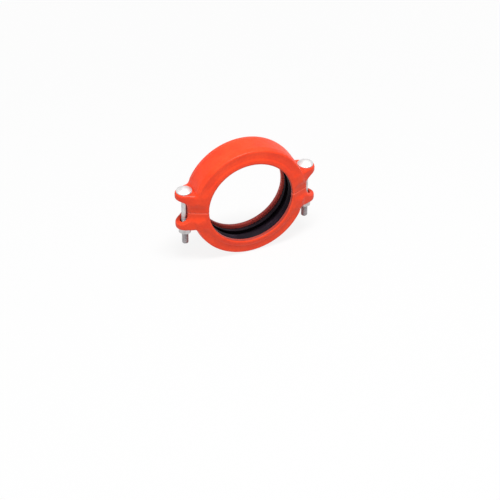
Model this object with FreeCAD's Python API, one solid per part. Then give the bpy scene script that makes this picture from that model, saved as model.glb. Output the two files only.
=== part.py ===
import FreeCAD, Part
import math
import os
from FreeCAD import Vector

# A two-segment grooved pipe coupling. Two equal cast halves are drawn together by two bolts
# round a rubber gasket, and their keys drop into the grooves of two pipe ends.
# Millimetres. The origin is the centre of the coupling. The pipe runs along Y, the bolts stand
# along Z at either side, and the halves meet in the plane Z = 0.

# Pipe that the coupling fits, nominal size 125
pipe_diameter = 139.7
groove_depth = 2.1
groove_from_pipe_end = 15.9
groove_width = 8.7
pipe_end_gap = 3.2

# Cast ring, as a section turned about Y
key_clearance = 0.8
key_side_play = 1.4
rim_clearance = 0.45
rim_chamfer = 0.6
face_beyond_key = 1.1
side_lean = 2.9
crown_slope = 8.3
casting_wall = 7.85
crown_step = 1.6
shoulder_round = 2.5
crown_round = 6.0

# Channel for the gasket
pocket_depth = 14.9
pocket_draft = 0.7
pocket_round = 2.5

# Ears, seen from above and from the front
bolt_beyond_crown = 7.1
ear_end_margin = 2.2
ear_seat_height = 32.0
ear_thickness = 11.0
ear_shoulder_beyond_rim = 6.7
ear_inset = 0.3
ear_top_round = 3.0

# Waist between the upper and the lower ear, and the channel beside the bolt
waist_beyond_rim = 0.9
waist_flare = 0.2
waist_end_inset = 1.5
waist_corner_round = 9.0
waist_root_round = 15.0
channel_clearance = 3.0
horn_wall = 6.0

# Tongue on one pad and recess on the other, so that two equal castings interlock
tongue_thickness = 3.2
tongue_length = 17.0
tongue_height = 2.4
tongue_clearance = 0.4
tongue_round = 1.0

# Bolt with a button head and an oval neck
bolt_diameter = 10.0
bolt_projection = 21.0
bolt_end_chamfer = 1.1
head_diameter = 25.0
head_rim_height = 2.2
head_height = 6.6
head_rim_round = 0.9
neck_width = 11.0
neck_length = 14.4
neck_height = 6.0
neck_clearance = 0.5
head_relief_clearance = 1.0

# Hex nut
nut_width = 18.0
nut_height = 10.0
nut_chamfer_angle = 30.0
nut_bore_clearance = 0.05
nut_bore_chamfer = 0.9

# Gasket
gasket_side_play = 0.3
gasket_crown_play = 0.3
gasket_wall = 5.0
gasket_crown_wall = 5.6
gasket_bevel = 3.0
cavity_round = 2.5
lip_clearance = 0.5
lip_rise = 3.6
lip_gap = 11.0
lip_edge = 1.7
lip_spread = 1.0

# How far cutters run past a face, and how near a point lies to count as on a line
overlap = 1.0
slack = 0.01

# Ring sizes that follow
key_radius = pipe_diameter / 2 - groove_depth + key_clearance
rim_radius = pipe_diameter / 2 + rim_clearance
key_inner_y = groove_from_pipe_end + pipe_end_gap / 2 + key_side_play
key_outer_y = groove_from_pipe_end + groove_width
face_y = key_outer_y + face_beyond_key
shoulder_y = face_y - side_lean
crown_y = shoulder_y - crown_slope
pocket_radius = key_radius + pocket_depth
shoulder_radius = pocket_radius + casting_wall
crown_radius = shoulder_radius + crown_step

# Ear, waist and bolt sizes that follow
bolt_x = crown_radius + bolt_beyond_crown
bolt_radius = bolt_diameter / 2
head_radius = head_diameter / 2
ear_end_radius = head_radius + ear_end_margin
ear_inner_height = ear_seat_height - ear_thickness
ear_root_x = key_radius / 2
ear_shoulder_x = rim_radius + ear_shoulder_beyond_rim
ear_shoulder_y = face_y - ear_inset
channel_radius = bolt_radius + channel_clearance
waist_start_x = rim_radius + waist_beyond_rim
waist_start_y = face_y + waist_flare
waist_end_x = bolt_x - waist_end_inset
waist_end_y = channel_radius + horn_wall
tongue_x = (pocket_radius + bolt_x - channel_radius) / 2
hole_width = neck_width + 2 * neck_clearance
hole_length = neck_length + 2 * neck_clearance
bolt_end_height = ear_seat_height + nut_height + bolt_projection

UP = Vector(0, 0, 1)
ALONG_PIPE = Vector(0, 1, 0)
CENTRE = Vector(0, 0, 0)


def corner_wire(corners, place):
    """Closed wire through corners (a, b, radius). place turns a and b into a point."""
    starts = []
    ends = []
    middles = []
    count = len(corners)
    for i in range(count):
        before = place(*corners[i - 1][:2])
        here = place(*corners[i][:2])
        after = place(*corners[(i + 1) % count][:2])
        radius = corners[i][2]
        back = (before - here).normalize()
        on = (after - here).normalize()
        half_angle = back.getAngle(on) / 2
        reach = radius / math.tan(half_angle)
        starts.append(here + back * reach)
        ends.append(here + on * reach)
        bisector = (back + on).normalize()
        middles.append(here + bisector * (radius / math.sin(half_angle) - radius))
    edges = []
    for i in range(count):
        if corners[i][2] > 0:
            edges.append(Part.Arc(starts[i], middles[i], ends[i]).toShape())
        edges.append(Part.makeLine(ends[i], starts[(i + 1) % count]))
    return Part.Wire(edges)


def section_face(corners):
    """Face in the plane Z = 0 from corners (radius from Y, distance along Y, rounding)."""
    return Part.Face(corner_wire(corners, lambda r, y: Vector(r, y, 0)))


def plan_prism(corners, low, high):
    """Upright prism from corners (x, y, rounding) between two heights."""
    face = Part.Face(corner_wire(corners, lambda x, y: Vector(x, y, low)))
    return face.extrude(UP * (high - low))


def mirrored(corners):
    """Corners with positive second value, followed by their mirror images in reverse."""
    return corners + [(a, -b, radius) for a, b, radius in reversed(corners)]


def cylinder_at(x, radius, low, high):
    """Upright cylinder on the bolt side at x."""
    return Part.makeCylinder(radius, high - low, Vector(x, 0, low), UP)


def slot_prism(x, length, width, low, high):
    """Upright prism with round ends, its length along X, centred at x."""
    reach = (length - width) / 2
    side = width / 2
    left = Vector(x - reach, 0, low)
    right = Vector(x + reach, 0, low)
    to_side = Vector(0, side, 0)
    to_end = Vector(side, 0, 0)
    wire = Part.Wire([
        Part.makeLine(left - to_side, right - to_side),
        Part.Arc(right - to_side, right + to_end, right + to_side).toShape(),
        Part.makeLine(right + to_side, left + to_side),
        Part.Arc(left + to_side, left - to_end, left - to_side).toShape(),
    ])
    return Part.Face(wire).extrude(UP * (high - low))


def edges_where(shape, test):
    """Edges of a shape whose every sample point passes the test."""
    found = []
    for edge in shape.Edges:
        points = edge.discretize(7)
        if all(test(point) for point in points):
            found.append(edge)
    return found


def pocket_side_y(radius):
    """Distance of the gasket channel's side wall from the middle plane at a radius."""
    return key_inner_y - pocket_draft * (radius - key_radius) / pocket_depth


def half_ring():
    """Upper half of the ring's outer form, solid down to the key radius."""
    section = mirrored([
        (key_radius - overlap, face_y, 0),
        (rim_radius + rim_chamfer, face_y, 0),
        (shoulder_radius, shoulder_y, shoulder_round),
        (crown_radius, crown_y, crown_round),
    ])
    return section_face(section).revolve(CENTRE, -ALONG_PIPE, 180)


def inner_space():
    """Everything inside the ring: the way for the pipes and the gasket channel."""
    pipe_way = section_face(mirrored([
        (0, face_y + rim_chamfer, 0),
        (rim_radius + 2 * rim_chamfer, face_y + rim_chamfer, 0),
        (rim_radius, face_y - rim_chamfer, 0),
        (key_radius, key_outer_y, 0),
    ]))
    channel = section_face(mirrored([
        (key_radius - overlap, pocket_side_y(key_radius - overlap), 0),
        (pocket_radius, pocket_side_y(pocket_radius), pocket_round),
    ]))
    way = pipe_way.revolve(CENTRE, ALONG_PIPE, 360)
    return way.fuse(channel.revolve(CENTRE, ALONG_PIPE, 360))


def ear_outline():
    """Plan of the right ear: full width beside the ring, then straight to its round end."""
    start = Vector(ear_shoulder_x, ear_shoulder_y, 0)
    centre = Vector(bolt_x, 0, 0)
    to_centre = centre - start
    inward = math.atan2(to_centre.y, to_centre.x)
    side_angle = inward + math.asin(ear_end_radius / to_centre.Length)
    touch = centre + Vector(-math.sin(side_angle), math.cos(side_angle), 0) * ear_end_radius
    touch_low = Vector(touch.x, -touch.y, 0)
    start_low = Vector(start.x, -start.y, 0)
    tip = Vector(bolt_x + ear_end_radius, 0, 0)
    root = Vector(ear_root_x, start.y, 0)
    root_low = Vector(ear_root_x, -start.y, 0)
    return Part.Wire([
        Part.makeLine(root, start),
        Part.makeLine(start, touch),
        Part.Arc(touch, tip, touch_low).toShape(),
        Part.makeLine(touch_low, start_low),
        Part.makeLine(start_low, root_low),
        Part.makeLine(root_low, root),
    ])


def ear_block():
    """Right ear and pad before the waist is cut, with its upper edge rounded."""
    block = Part.Face(ear_outline()).extrude(UP * ear_seat_height)
    upper = edges_where(block, lambda point: point.z > ear_seat_height - slack)
    outer = [edge for edge in upper if edge.BoundBox.XMax > ear_root_x + slack]
    return block.makeFillet(ear_top_round, outer)


def waist_space():
    """Space round the right pad between the ears, with a round root under the ear."""
    reach = bolt_x + 2 * ear_end_radius
    beside = 2 * face_y
    pad = mirrored([
        (waist_start_x, waist_start_y, 0),
        (waist_end_x, waist_end_y, waist_corner_round),
    ])
    outside = [
        (waist_start_x, beside, 0),
        (reach, beside, 0),
        (reach, -beside, 0),
        (waist_start_x, -beside, 0),
    ]
    around = outside + list(reversed(pad))
    space = plan_prism(around, -waist_root_round, ear_inner_height)

    def is_root(point):
        above = point.z > ear_inner_height - slack
        on_pad = abs(point.y) < waist_start_y + slack and point.x < waist_end_x + slack
        return above and on_pad

    return space.makeFillet(waist_root_round, edges_where(space, is_root))


def ear_cuts():
    """Channel beside the bolt, oval hole through the ear and relief round the bolt head."""
    channel = cylinder_at(bolt_x, channel_radius, -overlap, ear_inner_height)
    hole = slot_prism(bolt_x, hole_length, hole_width, -overlap, ear_seat_height + overlap)
    relief_radius = head_radius + head_relief_clearance
    relief = cylinder_at(bolt_x, relief_radius, ear_seat_height, crown_radius)
    return channel.fuse([hole, relief])


def tongue(x, play, low, high):
    """Tongue on a pad at x, or with play the space that takes one."""
    half_x = tongue_thickness / 2 + play
    half_y = tongue_length / 2 + play
    rounding = tongue_round + play
    corners = [
        (x - half_x, -half_y, rounding),
        (x + half_x, -half_y, rounding),
        (x + half_x, half_y, rounding),
        (x - half_x, half_y, rounding),
    ]
    return plan_prism(corners, low, high)


def housing():
    """One cast half, standing above Z = 0, with its tongue on the left pad."""
    right = ear_block()
    left = right.mirror(CENTRE, Vector(1, 0, 0))
    space = waist_space()
    spaces = [space, space.mirror(CENTRE, Vector(1, 0, 0))]
    body = half_ring().fuse([right, left]).removeSplitter()
    body = body.cut(spaces)
    cuts = ear_cuts()
    body = body.cut([inner_space(), cuts, cuts.mirror(CENTRE, Vector(1, 0, 0))])
    recess_depth = tongue_height + tongue_clearance
    body = body.cut(tongue(tongue_x, tongue_clearance, -overlap, recess_depth))
    body = body.fuse(tongue(-tongue_x, 0, -tongue_height, overlap))
    return body.removeSplitter()


def turned(profile):
    """Solid turned about Z from corners (radius, height)."""
    points = [Vector(r, 0, z) for r, z in profile]
    return Part.Face(Part.makePolygon(points + points[:1])).revolve(CENTRE, UP, 360)


def bolt_head():
    """Round head with a low dome, centred on Z and seated on the upper ear."""
    top = ear_seat_height + head_height
    shoulder = ear_seat_height + head_rim_height
    rim_x = head_radius - head_rim_round
    rim_z = shoulder + head_rim_round
    dome_rise = top - rim_z
    dome_radius = (rim_x ** 2 + dome_rise ** 2) / (2 * dome_rise)
    half_sweep = math.asin(rim_x / dome_radius) / 2
    dome_side = dome_radius * math.sin(half_sweep)
    dome_drop = dome_radius * (1 - math.cos(half_sweep))
    seat = Vector(0, 0, ear_seat_height)
    rim = Vector(rim_x, 0, rim_z)
    crown = Vector(0, 0, top)
    wire = Part.Wire([
        Part.makeLine(seat, Vector(head_radius, 0, ear_seat_height)),
        Part.makeLine(Vector(head_radius, 0, ear_seat_height), Vector(head_radius, 0, shoulder)),
        Part.makeLine(Vector(head_radius, 0, shoulder), rim),
        Part.Arc(rim, Vector(dome_side, 0, top - dome_drop), crown).toShape(),
        Part.makeLine(crown, seat),
    ])
    return Part.Face(wire).revolve(CENTRE, UP, 360)


def bolt(x):
    """Bolt through both ears at x, its oval neck in the upper ear's hole."""
    inside_head = ear_seat_height + overlap
    shank = turned([
        (0, inside_head),
        (bolt_radius, inside_head),
        (bolt_radius, bolt_end_chamfer - bolt_end_height),
        (bolt_radius - bolt_end_chamfer, -bolt_end_height),
        (0, -bolt_end_height),
    ])
    neck_end = ear_seat_height - neck_height
    neck = slot_prism(0, neck_length, neck_width, neck_end, inside_head)
    shape = bolt_head().fuse([shank, neck]).removeSplitter()
    shape.translate(Vector(x, 0, 0))
    return shape


def nut(x):
    """Hex nut against the lower ear at x, both faces chamfered, as is the bore."""
    flat_radius = nut_width / 2
    corner_radius = flat_radius / math.cos(math.pi / 6)
    corners = []
    for i in range(6):
        angle = math.radians(60 * i)
        corners.append((corner_radius * math.cos(angle), corner_radius * math.sin(angle), 0))
    top = -ear_seat_height
    low = top - nut_height
    hexagon = plan_prism(corners, low, top)
    outside = corner_radius + overlap
    drop = (outside - flat_radius) * math.tan(math.radians(nut_chamfer_angle))
    envelope = turned([
        (0, low),
        (flat_radius, low),
        (outside, low + drop),
        (outside, top - drop),
        (flat_radius, top),
        (0, top),
    ])
    bore_radius = bolt_radius + nut_bore_clearance
    mouth = bore_radius + nut_bore_chamfer
    bore = turned([
        (0, low),
        (mouth, low),
        (bore_radius, low + nut_bore_chamfer),
        (bore_radius, top - nut_bore_chamfer),
        (mouth, top),
        (0, top),
    ])
    shape = hexagon.common(envelope).cut(bore)
    shape.translate(Vector(x, 0, 0))
    return shape


def gasket():
    """Rubber ring of C section, its two lips turned in towards the pipes."""
    lip_radius = key_radius + lip_clearance
    lip_base = lip_radius + lip_rise
    lip_y = lip_gap / 2
    heel_bevel = gasket_bevel / 2
    heel_radius = lip_base + heel_bevel
    outer_radius = pocket_radius - gasket_crown_play
    back_radius = outer_radius - gasket_bevel
    heel_y = pocket_side_y(heel_radius) - gasket_side_play
    back_y = pocket_side_y(back_radius) - gasket_side_play
    cavity_y = back_y - gasket_wall
    section = mirrored([
        (outer_radius, back_y - gasket_bevel, 0),
        (back_radius, back_y, 0),
        (heel_radius, heel_y, 0),
        (lip_base, heel_y - heel_bevel, 0),
        (lip_radius, lip_y, 0),
        (lip_radius + lip_edge, lip_y, 0),
        (lip_base + lip_edge + lip_spread, cavity_y, 0),
        (outer_radius - gasket_crown_wall, cavity_y, cavity_round),
    ])
    return section_face(section).revolve(CENTRE, ALONG_PIPE, 360)


os.makedirs("parts", exist_ok=True)
upper_housing = housing()
lower_housing = upper_housing.copy()
lower_housing.rotate(CENTRE, ALONG_PIPE, 180)
nodes = {
    "upper_housing": upper_housing,
    "lower_housing": lower_housing,
    "gasket": gasket(),
    "bolt_left": bolt(-bolt_x),
    "bolt_right": bolt(bolt_x),
    "nut_left": nut(-bolt_x),
    "nut_right": nut(bolt_x),
}
for name, shape in nodes.items():
    shape.exportStep("parts/" + name + ".step")
    print(name, shape.isValid(), len(shape.Solids), round(shape.Volume))
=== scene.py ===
import math

import bmesh
import bpy
from mathutils import Matrix, Vector


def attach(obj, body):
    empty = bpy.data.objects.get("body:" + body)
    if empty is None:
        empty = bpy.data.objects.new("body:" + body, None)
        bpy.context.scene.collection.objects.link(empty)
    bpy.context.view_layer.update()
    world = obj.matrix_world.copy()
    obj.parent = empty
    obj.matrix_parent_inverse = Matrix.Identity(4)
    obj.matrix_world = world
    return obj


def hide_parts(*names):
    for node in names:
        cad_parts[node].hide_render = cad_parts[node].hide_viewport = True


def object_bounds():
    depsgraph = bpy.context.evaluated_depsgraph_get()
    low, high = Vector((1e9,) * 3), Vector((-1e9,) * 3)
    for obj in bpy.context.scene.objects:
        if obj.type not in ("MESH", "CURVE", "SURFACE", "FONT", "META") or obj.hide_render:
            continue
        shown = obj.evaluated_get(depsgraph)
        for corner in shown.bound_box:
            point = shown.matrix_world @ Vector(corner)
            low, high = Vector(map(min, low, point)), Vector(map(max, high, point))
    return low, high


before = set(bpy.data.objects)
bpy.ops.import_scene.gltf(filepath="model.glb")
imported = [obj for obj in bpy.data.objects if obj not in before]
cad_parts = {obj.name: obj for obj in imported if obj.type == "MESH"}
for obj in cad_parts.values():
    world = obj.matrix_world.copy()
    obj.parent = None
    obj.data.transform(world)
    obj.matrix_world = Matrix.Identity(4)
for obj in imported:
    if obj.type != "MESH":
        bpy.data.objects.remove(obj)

cad_low, cad_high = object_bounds()
MM = 0.001

# Sizes repeated from the part, in millimetres
KEY_RADIUS = 68.55
KEY_INNER_Y = 18.9
POCKET_RADIUS = 83.45
POCKET_DRAFT = 0.7
BOLT_X = 100.0
SEAT_HEIGHT = 32.0
BOLT_RADIUS = 5.0
BOLT_END = 63.0
END_CHAMFER = 1.1
HEAD_RADIUS = 12.5
HEAD_RIM = 2.2
HEAD_HEIGHT = 6.6
NECK_WIDTH = 11.0
NECK_LENGTH = 14.4
NECK_HEIGHT = 6.0
PITCH = 1.5
THREAD_DEPTH = 0.92
THREAD_TOP = -14.0

# The gasket's section, in millimetres
GASKET_GAP = 0.3
LIP_CLEARANCE = 0.5
LIP_RISE = 3.6
LIP_THICKNESS = 1.7
LIP_EDGE_Y = 5.5
CORNER_BEVEL = 3.0
HEEL_BEVEL = 1.5
WALL_THICKNESS = 5.0
BACK_THICKNESS = 5.6

# Vertices round each turned form, and rows of them in one turn of the thread
BOLT_AROUND = 56
NECK_AROUND = 64
HEAD_AROUND = 72
GASKET_AROUND = 288
TURN_ROWS = 12

# Softening of the CAD meshes: voxel sizes in metres and steps of smoothing
CASTING_VOXEL, CASTING_STEPS = 0.0008, 5
NUT_VOXEL, NUT_STEPS = 0.00032, 2
EAR_STEPS, FLARE_STEPS = 22, 80
SMOOTHING = 0.5

# Where the castings are softened further, from and to, in millimetres
EAR_BESIDE, EAR_LOW, EAR_HIGH = (66, 72), (4, 8), (30, 31)
BOLT_CLEAR_SQUARED = 90
FLARE_ALONG, FLARE_REACH, FLARE_BESIDE = (9, 12), (76, 79), (89, 94)
FLARE_LOW, FLARE_HIGH = (1.5, 4), (34, 38)
INSIDE_REACH, INSIDE_Y = 84.2, 19.8

# Relief of the castings' side faces, in millimetres
RELIEF_DEPTH = 0.85
RELIEF_RISE, RELIEF_FALL, RELIEF_LOW = (75.9, 78.5), (84, 91), (30, 42)
RIM_RADIUS, FACE_Y = 76, 20

# Distances in metres under which vertices are merged
CAD_WELD = 0.000002
TURNED_WELD = 0.000001
BOLT_WELD = 0.0000015

# Where the paint, its painted shade and highlights, and the plating change, from and to, in metres
# The next four bound the painted shade in the bore and the channel
LAND_EDGE = (0.0690, 0.0697)
CHANNEL_SIDE = (0.0188, 0.0194)
CHANNEL_FLOOR = (0.0838, 0.0846)
NEAR_LAND = (-0.018, -0.017)
SPLIT_LINE = (0.0002, 0.0006)
# The next two bound the painted highlight on the lower half's lip below the joint
LIP_HIGHLIGHT_TOP = (-0.0003, -0.0005)
LIP_HIGHLIGHT_FOOT = (-0.0022, -0.0014)
CROWN_START = (0.036, 0.046)
HEAD_SEAT = (0.031, 0.033)
THREAD_START = (-0.016, -0.014)

# The part of a noise's range that most of its values fall in
USUAL_NOISE = (0.3, 0.7)


def link(name, data):
    """New object in the scene for a mesh, a lamp or a camera."""
    piece = bpy.data.objects.new(name, data)
    bpy.context.scene.collection.objects.link(piece)
    return piece


def smooth_shaded(mesh, sharp_angle=None):
    """Smooth shading, with edges sharper than the angle kept crisp."""
    for polygon in mesh.polygons:
        polygon.use_smooth = True
    if sharp_angle:
        mesh.set_sharp_from_angle(angle=math.radians(sharp_angle))


def ramp(value, start, end):
    """0 before the start, 1 after the end and a straight rise between them."""
    return min(1, max(0, (value - start) / (end - start)))


def fall(value, start, end):
    """1 before the start, 0 after the end and a straight fall between them."""
    return ramp(-value, -end, -start)


def eased(share):
    """Share from 0 to 1 that starts and ends gently."""
    return share * share * (3 - 2 * share)


# Castings and nuts, made from the CAD meshes
def smoothed(raw, steps, group=""):
    """Mesh of an object after smoothing, of one vertex group if it is named. The object goes."""
    soften = raw.modifiers.new("soften", "SMOOTH")
    soften.factor = SMOOTHING
    soften.iterations = steps
    soften.vertex_group = group
    ready = raw.evaluated_get(bpy.context.evaluated_depsgraph_get())
    result = bpy.data.meshes.new_from_object(ready)
    bpy.data.objects.remove(raw)
    return result


def region_softened(mesh, region, steps):
    """Mesh smoothed further where the region function of a point in millimetres says, 0 to 1."""
    raw = link("raw", mesh)
    raw.vertex_groups.clear()
    group = raw.vertex_groups.new(name="soft")
    for vertex in mesh.vertices:
        share = region(vertex.co / MM)
        if share > 0:
            group.add([vertex.index], share, "REPLACE")
    return smoothed(raw, steps, "soft")


def ear_region(point):
    """Where a housing's edges are rounder: the ears and their roots, away from the joint."""
    height, beside = abs(point.z), abs(point.x)
    if (beside - BOLT_X) ** 2 + point.y ** 2 < BOLT_CLEAR_SQUARED:
        return 0
    return ramp(height, *EAR_LOW) * ramp(beside, *EAR_BESIDE) * fall(height, *EAR_HIGH)


def flare_region(point):
    """Where a housing is rounder still: the flares that run from the ring's faces into the ears."""
    height, beside, along = abs(point.z), abs(point.x), abs(point.y)
    reach = math.hypot(point.x, point.z)
    if reach < INSIDE_REACH and along < INSIDE_Y:
        return 0
    return (ramp(along, *FLARE_ALONG) * ramp(reach, *FLARE_REACH) * fall(beside, *FLARE_BESIDE)
            * ramp(height, *FLARE_LOW) * fall(height, *FLARE_HIGH))


def face_relief(point):
    """How far a housing's side face lies behind its rim at a point, in millimetres."""
    reach, along, height = math.hypot(point.x, point.z), abs(point.y), abs(point.z)
    if along < FACE_Y or reach < RIM_RADIUS:
        return 0
    rise = eased(ramp(reach, *RELIEF_RISE))
    return RELIEF_DEPTH * rise * fall(reach, *RELIEF_FALL) * ramp(height, *RELIEF_LOW)


def relieved(mesh):
    """Sinks the side faces of a housing behind the rim."""
    for vertex in mesh.vertices:
        depth = face_relief(vertex.co / MM) * MM
        vertex.co.y -= math.copysign(depth, vertex.co.y)


def softened(node, name, voxel, steps):
    """Smooth mesh of a CAD node, its edges rounded as in a casting or a forging."""
    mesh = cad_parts[node].data.copy()
    mesh.name = name
    mesh.materials.clear()
    shape = bmesh.new()
    shape.from_mesh(mesh)
    bmesh.ops.remove_doubles(shape, verts=shape.verts, dist=CAD_WELD)
    shape.to_mesh(mesh)
    shape.free()
    raw = link(name + "_raw", mesh)
    remesh = raw.modifiers.new("even", "REMESH")
    remesh.mode = "VOXEL"
    remesh.voxel_size = voxel
    result = smoothed(raw, steps)
    smooth_shaded(result)
    return result


def casting_piece(node, name):
    """Cast housing, its ears and flares rounder than the rest and its side faces sunk."""
    mesh = softened(node, name, CASTING_VOXEL, CASTING_STEPS)
    mesh = region_softened(mesh, ear_region, EAR_STEPS)
    mesh = region_softened(mesh, flare_region, FLARE_STEPS)
    relieved(mesh)
    piece = link(name, mesh)
    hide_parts(node)
    return piece


def nut_piece(node, name):
    """Hex nut with softened edges."""
    piece = link(name, softened(node, name, NUT_VOXEL, NUT_STEPS))
    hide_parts(node)
    return piece


# Gasket
def arc_corners(corners, steps):
    """Points of a closed section whose corners (a, b, radius) are rounded."""
    points = []
    for i, corner in enumerate(corners):
        here, radius = Vector(corner[:2]), corner[2]
        back = (Vector(corners[i - 1][:2]) - here).normalized()
        on = (Vector(corners[(i + 1) % len(corners)][:2]) - here).normalized()
        half = back.angle(on) / 2
        middle = here + (back + on).normalized() * (radius / math.sin(half))
        start = here + back * (radius / math.tan(half)) - middle
        end = here + on * (radius / math.tan(half)) - middle
        for k in range(steps + 1):
            turned = start.lerp(end, k / steps)
            points.append(middle + turned.normalized() * radius)
    return points


def turned_mesh(name, points, segments, about_y, closed):
    """Mesh turned from (radius, height) points in millimetres, about Y or about Z.

    The last point is joined to the first if the section is closed.
    """
    shape = bmesh.new()
    rows = []
    for i in range(segments):
        angle = 2 * math.pi * i / segments
        c, s = math.cos(angle), math.sin(angle)
        row = []
        for r, h in points:
            place = (r * c, h, r * s) if about_y else (r * c, r * s, h)
            row.append(shape.verts.new(Vector(place) * MM))
        rows.append(row)
    count = len(points)
    spans = count if closed else count - 1
    for i in range(segments):
        a, b = rows[i], rows[(i + 1) % segments]
        for j in range(spans):
            k = (j + 1) % count
            shape.faces.new((a[j], b[j], b[k], a[k]))
    bmesh.ops.remove_doubles(shape, verts=shape.verts, dist=TURNED_WELD)
    bmesh.ops.recalc_face_normals(shape, faces=shape.faces)
    mesh = bpy.data.meshes.new(name)
    shape.to_mesh(mesh)
    shape.free()
    return mesh


def gasket_piece():
    """Rubber ring of C section with rounded lips and heels, and a shallow groove round each lip."""
    def side(radius):
        """Distance of the channel's side from the middle plane at a radius."""
        return KEY_INNER_Y - POCKET_DRAFT * (radius - KEY_RADIUS) / (POCKET_RADIUS - KEY_RADIUS)

    lip = KEY_RADIUS + LIP_CLEARANCE
    base = lip + LIP_RISE
    outer = POCKET_RADIUS - GASKET_GAP
    back = outer - CORNER_BEVEL
    back_y = side(back) - GASKET_GAP
    heel_y = side(base + HEEL_BEVEL) - GASKET_GAP
    cavity_y = back_y - WALL_THICKNESS
    half = [
        (outer, back_y - CORNER_BEVEL, 1.5),
        (back, back_y, 1.5),
        (base + HEEL_BEVEL, heel_y, 1.0),
        (base, heel_y - HEEL_BEVEL, 1.0),
        (lip + 0.55, 9.2, 0.6),
        (lip + 0.75, 8.5, 0.4),
        (lip, LIP_EDGE_Y, 0.6),
        (lip + LIP_THICKNESS, LIP_EDGE_Y, 0.6),
        (base + 2.7, cavity_y, 1.5),
        (outer - BACK_THICKNESS, cavity_y, 2.5),
    ]
    section = half + [(r, -y, rounding) for r, y, rounding in reversed(half)]
    points = arc_corners(section, steps=4)
    mesh = turned_mesh("gasket_ring", points, GASKET_AROUND, about_y=True, closed=True)
    smooth_shaded(mesh, sharp_angle=50)
    piece = link("gasket_ring", mesh)
    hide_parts("gasket")
    return piece


# Bolts
def thread_radius(phase, z):
    """Radius of the bolt's thread, its crest a flat and its root a rounded valley."""
    flat, roundness, run_out = 1 / 16, 0.35, 1.5 * PITCH
    depth = ramp(abs(phase % 1 - 0.5), flat, 0.5 - flat)
    depth = eased(depth) * roundness + depth * (1 - roundness)
    radius = BOLT_RADIUS - THREAD_DEPTH * depth * fall(z, THREAD_TOP - run_out, THREAD_TOP)
    chamfer = BOLT_RADIUS - END_CHAMFER + (z + BOLT_END)
    return min(radius, chamfer)


def around_bolt(shape, radius, share, z):
    """New vertex at a radius and a height in millimetres, a share of the way round the bolt."""
    angle = 2 * math.pi * share
    return shape.verts.new(Vector((radius * math.cos(angle), radius * math.sin(angle), z)) * MM)


def add_ring(shape, radius, z):
    """New ring of vertices round the bolt."""
    return [around_bolt(shape, radius, j / BOLT_AROUND, z) for j in range(BOLT_AROUND)]


def bridge(shape, rings):
    """Faces from each ring of vertices to the next."""
    for a, b in zip(rings, rings[1:]):
        for j in range(len(a)):
            k = (j + 1) % len(a)
            shape.faces.new((a[j], a[k], b[k], b[j]))


def add_thread(shape):
    """Helical thread, from the bolt's end up to the plain shank."""
    rows = int((THREAD_TOP + BOLT_END) / PITCH * TURN_ROWS) + TURN_ROWS + 1
    grid = []
    for i in range(rows + 1):
        row = []
        for j in range(BOLT_AROUND + 1):
            turn = i / TURN_ROWS + j / BOLT_AROUND - 1
            z = min(max(turn * PITCH - BOLT_END, -BOLT_END), THREAD_TOP)
            row.append(around_bolt(shape, thread_radius(turn, z), j / BOLT_AROUND, z))
        grid.append(row)
    for a, b in zip(grid, grid[1:]):
        for j in range(BOLT_AROUND):
            shape.faces.new((a[j], a[j + 1], b[j + 1], b[j]))


def add_neck(shape, inside):
    """Oval neck under the head, a little narrower at its foot and ending inside the head."""
    reach, radius = (NECK_LENGTH - NECK_WIDTH) / 2, NECK_WIDTH / 2
    oval = []
    for j in range(NECK_AROUND):
        angle = 2 * math.pi * (j + 0.5) / NECK_AROUND
        c, s = math.cos(angle), math.sin(angle)
        oval.append((math.copysign(reach, c) + radius * c, radius * s))
    low, chamfer = SEAT_HEIGHT - NECK_HEIGHT, 0.5
    levels = []
    for grow, z in ((0.93, low), (1.0, low + chamfer), (1.0, inside)):
        levels.append([shape.verts.new(Vector((a * grow, b * grow, z)) * MM) for a, b in oval])
    bridge(shape, levels)
    shape.faces.new(list(reversed(levels[0])))
    shape.faces.new(levels[-1])


def arc(r, z, radius, start, end, steps=4):
    """Points of an arc about the point (r, z)."""
    angles = [start + (end - start) * k / steps for k in range(steps + 1)]
    return [(r + radius * math.cos(angle), z + radius * math.sin(angle)) for angle in angles]


def head_profile():
    """Points (radius, height) of the domed head, from the middle of its seat over the rim."""
    foot, shoulder, doming = 0.5, 1.3, 2.1
    rim_top, top = SEAT_HEIGHT + HEAD_RIM, SEAT_HEIGHT + HEAD_HEIGHT
    profile = [(0.0, SEAT_HEIGHT), (HEAD_RADIUS - foot, SEAT_HEIGHT)]
    profile += arc(HEAD_RADIUS - foot, SEAT_HEIGHT + foot, foot, -math.pi / 2, 0)
    profile += arc(HEAD_RADIUS - shoulder, rim_top - 0.9, shoulder, 0, math.pi / 2 * 0.8)
    r, z = profile[-1]
    steps = 16
    for k in range(1, steps + 1):
        share = k / steps
        profile.append((r * (1 - share), z + (top - z) * (1 - (1 - share) ** doming)))
    return profile


def bolt_piece(x, name, node):
    """Bolt with a domed head, an oval neck and a rolled thread along its lower half."""
    shape = bmesh.new()
    add_thread(shape)
    inside = SEAT_HEIGHT + 1
    rings = [add_ring(shape, BOLT_RADIUS, z) for z in (THREAD_TOP, 0, inside)]
    bridge(shape, rings)
    shape.faces.new(rings[-1])
    end = add_ring(shape, BOLT_RADIUS - END_CHAMFER, -BOLT_END)
    shape.faces.new(list(reversed(end)))
    bmesh.ops.remove_doubles(shape, verts=shape.verts, dist=BOLT_WELD)
    bmesh.ops.dissolve_degenerate(shape, edges=shape.edges, dist=BOLT_WELD)
    add_neck(shape, inside)
    head = turned_mesh(name + "_head", head_profile(), HEAD_AROUND, about_y=False, closed=False)
    shape.from_mesh(head)
    bpy.data.meshes.remove(head)
    bmesh.ops.recalc_face_normals(shape, faces=shape.faces)
    bmesh.ops.translate(shape, verts=shape.verts, vec=(x * MM, 0, 0))
    mesh = bpy.data.meshes.new(name)
    shape.to_mesh(mesh)
    shape.free()
    smooth_shaded(mesh, sharp_angle=40)
    piece = link(name, mesh)
    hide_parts(node)
    return piece


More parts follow.
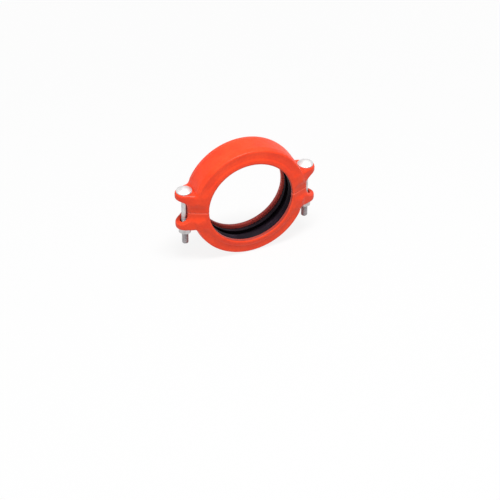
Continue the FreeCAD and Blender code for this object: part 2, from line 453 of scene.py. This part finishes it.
# Nodes
def node_tools(tree):
    """Two functions for a node tree: one adds a node and one sets or links a node's inputs."""
    def feed(node, inputs):
        """Sets or links the inputs of a node, given as values or sockets."""
        for key, value in inputs.items():
            if isinstance(value, bpy.types.NodeSocket):
                tree.links.new(value, node.inputs[key])
            else:
                node.inputs[key].default_value = value

    def add(kind, inputs=None, **values):
        """New node of a kind, with its inputs and its own settings."""
        node = tree.nodes.new(kind)
        for key, value in values.items():
            setattr(node, key, value)
        feed(node, inputs or {})
        return node

    return add, feed


def new_material(name):
    """Material with a Principled shader, and the two functions for its nodes."""
    material = bpy.data.materials.new(name)
    material.use_nodes = True
    shader = material.node_tree.nodes["Principled BSDF"]
    return material, shader, *node_tools(material.node_tree)


def object_place(add):
    """Place in the frame, in metres."""
    return add("ShaderNodeTexCoord").outputs["Object"]


def noise(add, place, scale, detail, roughness=0.5):
    """Noise from 0 to 1."""
    node = add("ShaderNodeTexNoise", {"Vector": place, "Scale": scale, "Detail": detail,
                                      "Roughness": roughness})
    return node.outputs["Fac"]


def calculated(add, operation, *values):
    """Result of a calculation with numbers or sockets."""
    return add("ShaderNodeMath", dict(enumerate(values)), operation=operation).outputs[0]


def value_map(add, value, old_range, new_range):
    """A value moved from one range to another."""
    node = add("ShaderNodeMapRange", {"Value": value, "From Min": old_range[0],
                                      "From Max": old_range[1], "To Min": new_range[0],
                                      "To Max": new_range[1]})
    return node.outputs["Result"]


def colour_ramp(add, factor, stops):
    """Colour ramp through (place, colour) stops."""
    node = add("ShaderNodeValToRGB", {"Fac": factor})
    line = node.color_ramp
    while len(line.elements) < len(stops):
        line.elements.new(0.5)
    for element, (place, colour) in zip(line.elements, stops):
        element.position = place
        element.color = (*colour, 1)
    return node.outputs["Color"]


def blended(add, share, first, second, blend_type="MIX"):
    """First colour blended with the second by a share. A colour is a tuple or a socket."""
    first, second = [(*colour, 1) if isinstance(colour, tuple) else colour
                     for colour in (first, second)]
    node = add("ShaderNodeMix", {0: share, "A": first, "B": second}, data_type="RGBA",
               blend_type=blend_type)
    return node.outputs["Result"]


def bumped(add, height, strength, distance, normal=None):
    """Normal of a bump, on top of another one if it is given."""
    inputs = {"Height": height, "Strength": strength, "Distance": distance}
    if normal is not None:
        inputs["Normal"] = normal
    return add("ShaderNodeBump", inputs).outputs["Normal"]


def axis_place(add, place):
    """Distance of a place from the pipe's axis, its place along that axis and its height."""
    parts = add("ShaderNodeSeparateXYZ", {"Vector": place}).outputs
    square = calculated(add, "MULTIPLY", parts["X"], parts["X"])
    square = calculated(add, "MULTIPLY_ADD", parts["Z"], parts["Z"], square)
    return calculated(add, "SQRT", square), parts["Y"], parts["Z"]


# Materials
def enamel_tone(add, place, cloud, edge):
    """Orange-red paint, cloudy and speckled as over a casting, with a painted highlight at convex
    edges: a lighter, more orange red there.
    """
    tone = colour_ramp(add, cloud, [
        (0.32, (0.79, 0.043, 0.010)),
        (0.52, (0.83, 0.055, 0.012)),
        (0.72, (0.86, 0.065, 0.017)),
    ])
    speck = colour_ramp(add, noise(add, place, 260.0, 3.0), [
        (0.3, (0.93, 0.84, 0.84)),
        (0.65, (1.0, 1.0, 1.0)),
    ])
    speckled = blended(add, 0.9, tone, speck, "MULTIPLY")
    # Painted highlight: convex edges are painted a lighter, more orange red
    edge_highlight = value_map(add, edge, (0.51, 0.60), (0.0, 0.35))
    edge_highlight_tone = (0.90, 0.085, 0.032)
    return blended(add, edge_highlight, speckled, edge_highlight_tone)


def bore_painted_shade(add, cloud, reach, along):
    """Share and tone of the painted shade in the bore and the gasket's channel: a darker, rosier
    red than the enamel, darker still on the near land as painted shadow.
    """
    covering, raggedness = 0.85, 0.0004
    # Painted shade: the bore's darker tone, and the near land's darker one as painted shadow
    bore_shade_tone, near_land_shadow_tone = (0.62, 0.087, 0.078), (0.28, 0.030, 0.020)
    ragged = calculated(add, "MULTIPLY_ADD", cloud, raggedness, reach)
    bore = value_map(add, ragged, LAND_EDGE, (covering, 0.0))
    depth = calculated(add, "ABSOLUTE", along)
    deep = value_map(add, depth, CHANNEL_SIDE, (1.0, 0.0))
    channel = value_map(add, reach, CHANNEL_FLOOR, (covering, 0.0))
    inside = calculated(add, "MULTIPLY", deep, channel)
    near = value_map(add, along, NEAR_LAND, (1.0, 0.0))
    tone = blended(add, near, bore_shade_tone, near_land_shadow_tone)
    return calculated(add, "MAXIMUM", bore, inside), tone


def with_split_line(add, tone, height, off_joint):
    """Tone with the dark line where the halves meet and, below it, a painted highlight: a lighter
    lip on the lower half.
    """
    # Painted highlight: the lower half's lip under the joint is painted lighter
    lip_highlight_tone, line_tone = (0.93, 0.115, 0.06), (0.26, 0.018, 0.010)
    below = value_map(add, height, LIP_HIGHLIGHT_TOP, (0.0, 1.0))
    near = value_map(add, height, LIP_HIGHLIGHT_FOOT, (0.0, 1.0))
    lip = calculated(add, "MULTIPLY", below, near)
    line = value_map(add, off_joint, SPLIT_LINE, (0.4, 0.0))
    return blended(add, line, blended(add, lip, tone, lip_highlight_tone), line_tone)


def enamel_material():
    """Orange-red enamel over a cast surface, with painted shade in the bore, a painted highlight at
    convex edges and a painted highlight below the split line.
    """
    material, shader, add, feed = new_material("enamel")
    place = object_place(add)
    reach, along, height = axis_place(add, place)
    off_joint = calculated(add, "ABSOLUTE", height)
    edge = add("ShaderNodeNewGeometry").outputs["Pointiness"]
    cloud = noise(add, place, 38.0, 3.0)
    # Painted shade in the bore and the channel, laid over the enamel
    bore_shade_share, bore_shade_colour = bore_painted_shade(add, cloud, reach, along)
    tone = blended(add, bore_shade_share, enamel_tone(add, place, cloud, edge), bore_shade_colour)
    ears = value_map(add, off_joint, CROWN_START, (1.0, 0.0))
    convex = value_map(add, edge, (0.50, 0.56), (0.0, 0.3))
    cast = bumped(add, noise(add, place, 150.0, 3.0, 0.6), 0.6, 0.0006)
    feed(shader, {
        "Base Color": with_split_line(add, tone, height, off_joint),
        "Roughness": value_map(add, cloud, USUAL_NOISE, (0.46, 0.58)),
        "Specular IOR Level": 0.15,
        "Coat Weight": calculated(add, "MULTIPLY_ADD", ears, convex, 0.22),
        "Coat Roughness": 0.3,
        "Normal": bumped(add, noise(add, place, 620.0, 1.5), 0.3, 0.00012, cast),
    })
    return material


def rubber_material():
    """Black moulded rubber with fine rings, a faint bloom and a soft sheen."""
    material, shader, add, feed = new_material("rubber")
    place = object_place(add)
    reach, along, _ = axis_place(add, place)
    ring_place = add("ShaderNodeCombineXYZ", {"X": reach, "Y": along}).outputs[0]
    streak = noise(add, ring_place, 900.0, 2.0)
    bloom = calculated(add, "MULTIPLY", streak, noise(add, place, 55.0, 4.0))
    rings = bumped(add, streak, 0.35, 0.00025)
    feed(shader, {
        "Base Color": colour_ramp(add, bloom, [
            (0.12, (0.007, 0.0045, 0.0075)),
            (0.30, (0.013, 0.008, 0.0135)),
            (0.46, (0.040, 0.028, 0.042)),
        ]),
        "Roughness": value_map(add, streak, USUAL_NOISE, (0.42, 0.66)),
        "Specular IOR Level": 0.05,
        "Normal": bumped(add, noise(add, place, 1400.0, 1.0), 0.15, 0.0001, rings),
    })
    return material


def zinc_material(name, grain_scale, rough, thread_shade_strength):
    """Zinc plate with drawn or forged lines, paler on the heads as a painted highlight, darker at
    the threads as painted shade, and rougher on both.
    """
    material, shader, add, feed = new_material(name)
    place = object_place(add)
    height = add("ShaderNodeSeparateXYZ", {"Vector": place}).outputs["Z"]
    # The first tone is the heads' painted highlight, the second the threads' painted shade
    pale, thread_shade_tone = (0.88, 0.87, 0.87), (0.40, 0.37, 0.39)
    # Painted shade: the threaded part, and the nuts that sit on it, are painted darker as well as
    # made rougher
    thread_shade_share = value_map(add, height, THREAD_START, (thread_shade_strength, 0.0))
    tone = colour_ramp(add, noise(add, place, 170.0, 4.0), [
        (0.3, (0.50, 0.49, 0.49)),
        (0.55, (0.62, 0.61, 0.61)),
        (0.75, (0.71, 0.70, 0.69)),
    ])
    # Painted highlight: the heads are painted a little paler
    tone = blended(add, value_map(add, height, HEAD_SEAT, (0.0, 0.1)), tone, pale)
    stretched = add("ShaderNodeMapping", {"Vector": place, "Scale": grain_scale}).outputs[0]
    lines = noise(add, stretched, 1.0, 2.0)
    fine = value_map(add, lines, USUAL_NOISE, (rough - 0.07, rough + 0.08))
    coarse = value_map(add, height, HEAD_SEAT, (0.0, 0.2))
    roughness = calculated(add, "ADD", fine, coarse)
    feed(shader, {
        "Base Color": blended(add, thread_shade_share, tone, thread_shade_tone),
        "Metallic": 1.0,
        "Roughness": calculated(add, "MULTIPLY_ADD", thread_shade_share, 0.35, roughness),
        "Normal": bumped(add, lines, 0.2, 0.0001),
    })
    return material


def finish_piece(piece, material, body):
    """Material, in the piece's slot, and body of one piece."""
    piece.data.materials.clear()
    piece.data.materials.append(material)
    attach(piece, body)


enamel = enamel_material()
rubber = rubber_material()
bolt_zinc = zinc_material("bolt_zinc", (1500.0, 1500.0, 90.0), 0.42, 0.6)
nut_zinc = zinc_material("nut_zinc", (500.0, 500.0, 500.0), 0.40, 0.15)

finish_piece(casting_piece("upper_housing", "upper_casting"), enamel, "upper_half")
finish_piece(casting_piece("lower_housing", "lower_casting"), enamel, "lower_half")
finish_piece(gasket_piece(), rubber, "lower_half")
finish_piece(bolt_piece(-BOLT_X, "left_bolt", "bolt_left"), bolt_zinc, "upper_half")
finish_piece(bolt_piece(BOLT_X, "right_bolt", "bolt_right"), bolt_zinc, "upper_half")
finish_piece(nut_piece("nut_left", "left_nut"), nut_zinc, "nut_left")
finish_piece(nut_piece("nut_right", "right_nut"), nut_zinc, "nut_right")


# Floor, light and camera
def seen_white(add):
    """1 for rays to which the floor and the backdrop show white."""
    path = add("ShaderNodeLightPath").outputs
    seen = calculated(add, "MAXIMUM", path["Is Camera Ray"], path["Is Glossy Ray"])
    return calculated(add, "MAXIMUM", seen, path["Is Transmission Ray"])


def floor_material():
    """Pale floor that shows white and keeps the object's shadow."""
    material, shader, add, feed = new_material("floor")
    pale, white = (0.62, 0.62, 0.62, 1), (1, 1, 1, 1)
    feed(shader, {"Base Color": pale, "Roughness": 0.9, "Specular IOR Level": 0.0})
    glow = add("ShaderNodeEmission", {"Color": white, "Strength": 1.0})
    reach = add("ShaderNodeVectorMath", {0: object_place(add)}, operation="LENGTH")
    level = value_map(add, reach.outputs["Value"], (0.6, 1.8), (0.88, 1.0))
    blend = add("ShaderNodeMixShader", {
        "Fac": calculated(add, "MULTIPLY", seen_white(add), level),
        1: shader.outputs["BSDF"],
        2: glow.outputs["Emission"],
    })
    feed(material.node_tree.nodes["Material Output"], {"Surface": blend.outputs["Shader"]})
    return material


def lamp(name, place, width, height, power):
    """Soft lamp aimed at the middle of the object."""
    light = bpy.data.lights.new(name, "AREA")
    light.shape = "RECTANGLE"
    light.size = width
    light.size_y = height
    light.energy = power
    holder = link(name, light)
    holder.location = place
    holder.rotation_euler = Vector(place).to_track_quat("Z", "Y").to_euler()


scene = bpy.context.scene
scene.view_settings.view_transform = "Standard"

FLOOR_REACH = 6.0
floor_mesh = bpy.data.meshes.new("floor")
corners = [(x * FLOOR_REACH, y * FLOOR_REACH, cad_low.z)
           for x, y in ((-1, -1), (1, -1), (1, 1), (-1, 1))]
floor_mesh.from_pydata(corners, [], [(0, 1, 2, 3)])
floor_mesh.materials.append(floor_material())
floor = link("floor", floor_mesh)

world = bpy.data.worlds.new("studio")
scene.world = world
world.use_nodes = True
add, feed = node_tools(world.node_tree)
strength = value_map(add, seen_white(add), (0.0, 1.0), (0.3, 1.0))
feed(world.node_tree.nodes["Background"], {"Color": (1, 1, 1, 1), "Strength": strength})

lamp("key", (0.0, -0.78, 3.0), 1.6, 0.7, 126.0)
lamp("fill", (-2.6, -1.5, 1.2), 1.6, 1.2, 12.0)

AZIMUTH, ELEVATION = math.radians(-22.0), math.radians(36.0)
DISTANCE = 2.8
IMAGE_SIZE = 500
PIXELS_PER_METRE = 648.0
CENTRE_PIXEL = (245.3, 194.8)
right = Vector((math.cos(AZIMUTH), math.sin(AZIMUTH), 0))
back = Vector((math.sin(AZIMUTH) * math.cos(ELEVATION),
               -math.cos(AZIMUTH) * math.cos(ELEVATION), math.sin(ELEVATION)))
up = back.cross(right)
across, down = [(IMAGE_SIZE / 2 - pixel) / PIXELS_PER_METRE for pixel in CENTRE_PIXEL]
aim = right * across - up * down
turn = Matrix((right, up, back)).transposed().to_4x4()
lens = bpy.data.cameras.new("camera")
lens.sensor_width = 36.0
lens.lens = PIXELS_PER_METRE * DISTANCE * lens.sensor_width / IMAGE_SIZE
lens.clip_start = 0.01
lens.clip_end = 50
camera = link("camera", lens)
camera.matrix_world = Matrix.Translation(aim + back * DISTANCE) @ turn
scene.camera = camera
